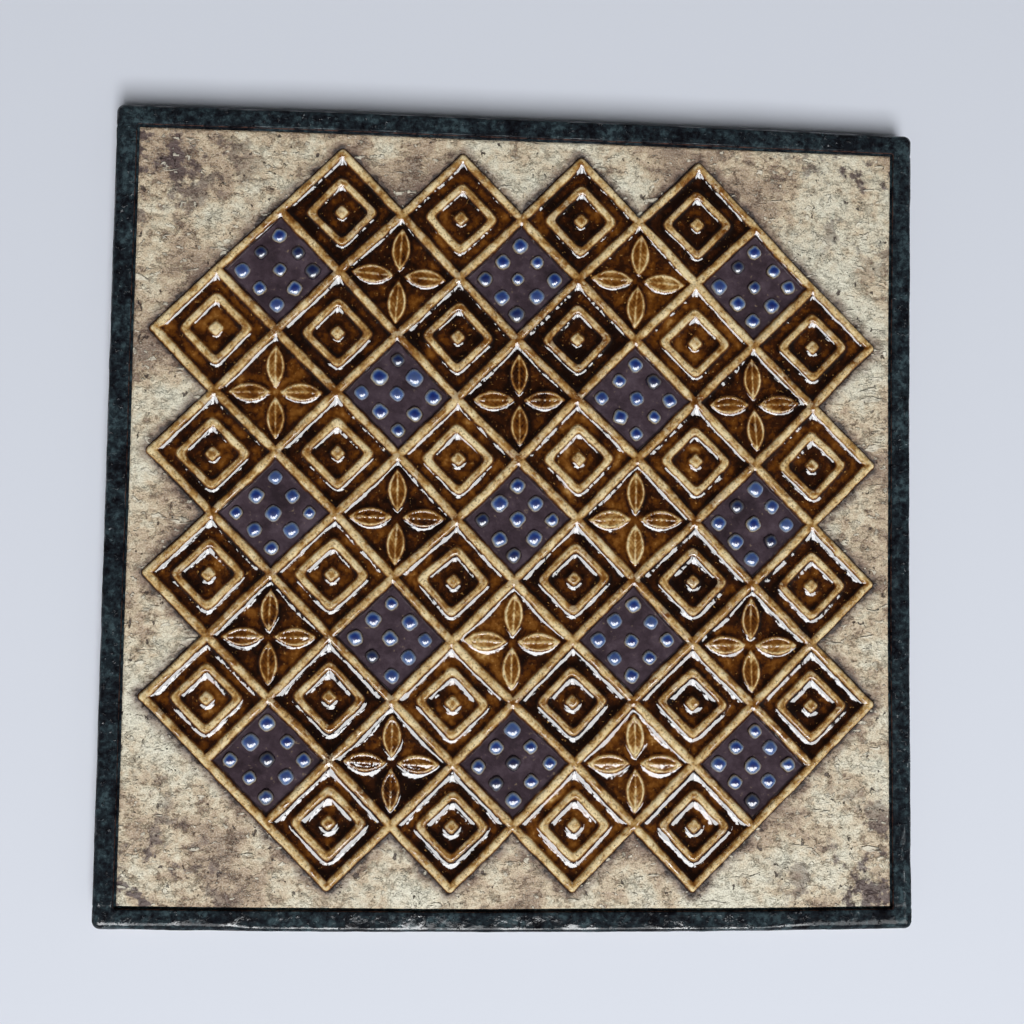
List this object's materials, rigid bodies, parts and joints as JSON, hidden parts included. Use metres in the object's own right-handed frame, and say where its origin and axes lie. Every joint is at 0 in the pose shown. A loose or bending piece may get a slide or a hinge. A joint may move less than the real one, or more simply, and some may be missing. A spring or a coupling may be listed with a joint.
{
  "type": "ceramic wall plaque",
  "caption": "Square glazed ceramic wall plaque with a dark raised border, a pale field and a low relief lattice of lozenges, on a flat back that rests or fixes on a wall.",
  "frame": {"origin": "middle of the flat back face, the lowest face of the plaque as it lies", "axes": "+Z out of the decorated face, +X to the right and +Y to the top of the face as it hangs"},
  "size_m": [0.3, 0.3016, 0.0173],
  "materials": {
    "glazed_clay": "satin to gloss glaze over fired clay",
    "pale_field": "satin cream with a brown oxide wash",
    "dark_border": "gloss green-black glaze",
    "amber_relief": "gloss amber glaze, tan on the ribs and near black where it pools",
    "cobalt_studs": "gloss cobalt glaze with pale rims",
    "bare_clay": "unglazed fired clay"
  },
  "bodies": {
    "root": {"plaque": "glazed_clay"}
  },
  "joints": []
}
